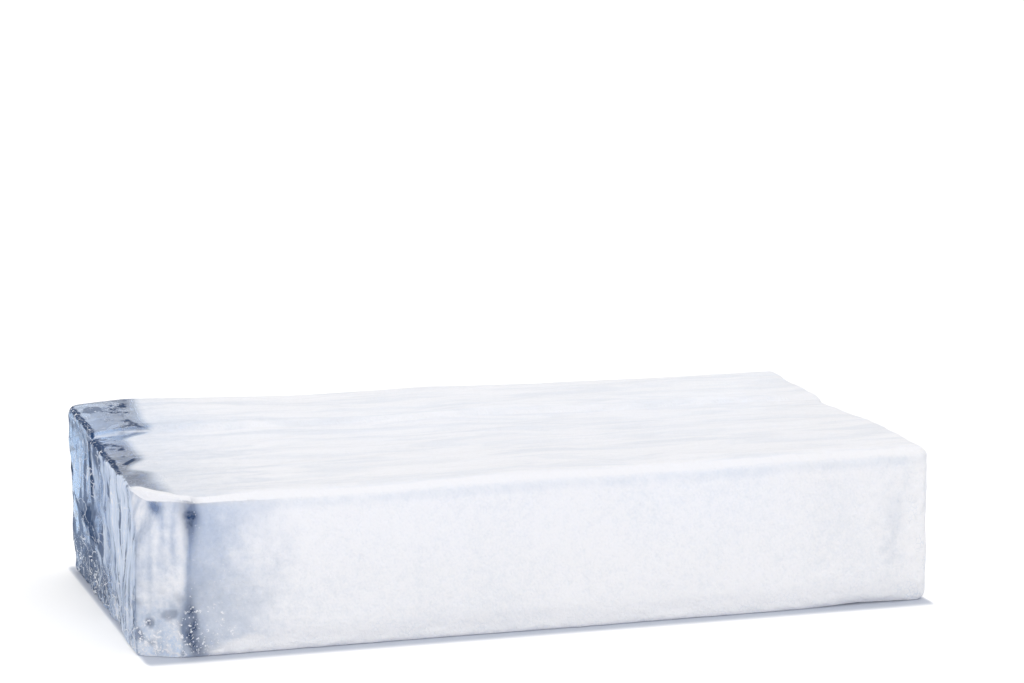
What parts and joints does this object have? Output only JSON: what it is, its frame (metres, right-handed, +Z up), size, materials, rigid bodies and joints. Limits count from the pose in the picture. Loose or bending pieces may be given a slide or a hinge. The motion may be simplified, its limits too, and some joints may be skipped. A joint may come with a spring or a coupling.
{
  "type": "ice block",
  "caption": "Large clear ice block with a frosted front and top, a clear fluted end, melted edges and a flat base to stand on.",
  "frame": {"origin": "middle of the flat base, on the surface the block rests on", "axes": "+X along the block, away from the clear fluted end; +Y to the back, away from the frosted front; +Z up"},
  "size_m": [1.013, 0.504, 0.2278],
  "materials": {
    "ice": "clear, wet ice with a frosted skin on the front and the top, smooth clear flutes at the -X end"
  },
  "bodies": {
    "root": {"ice_block": "ice"}
  },
  "joints": []
}
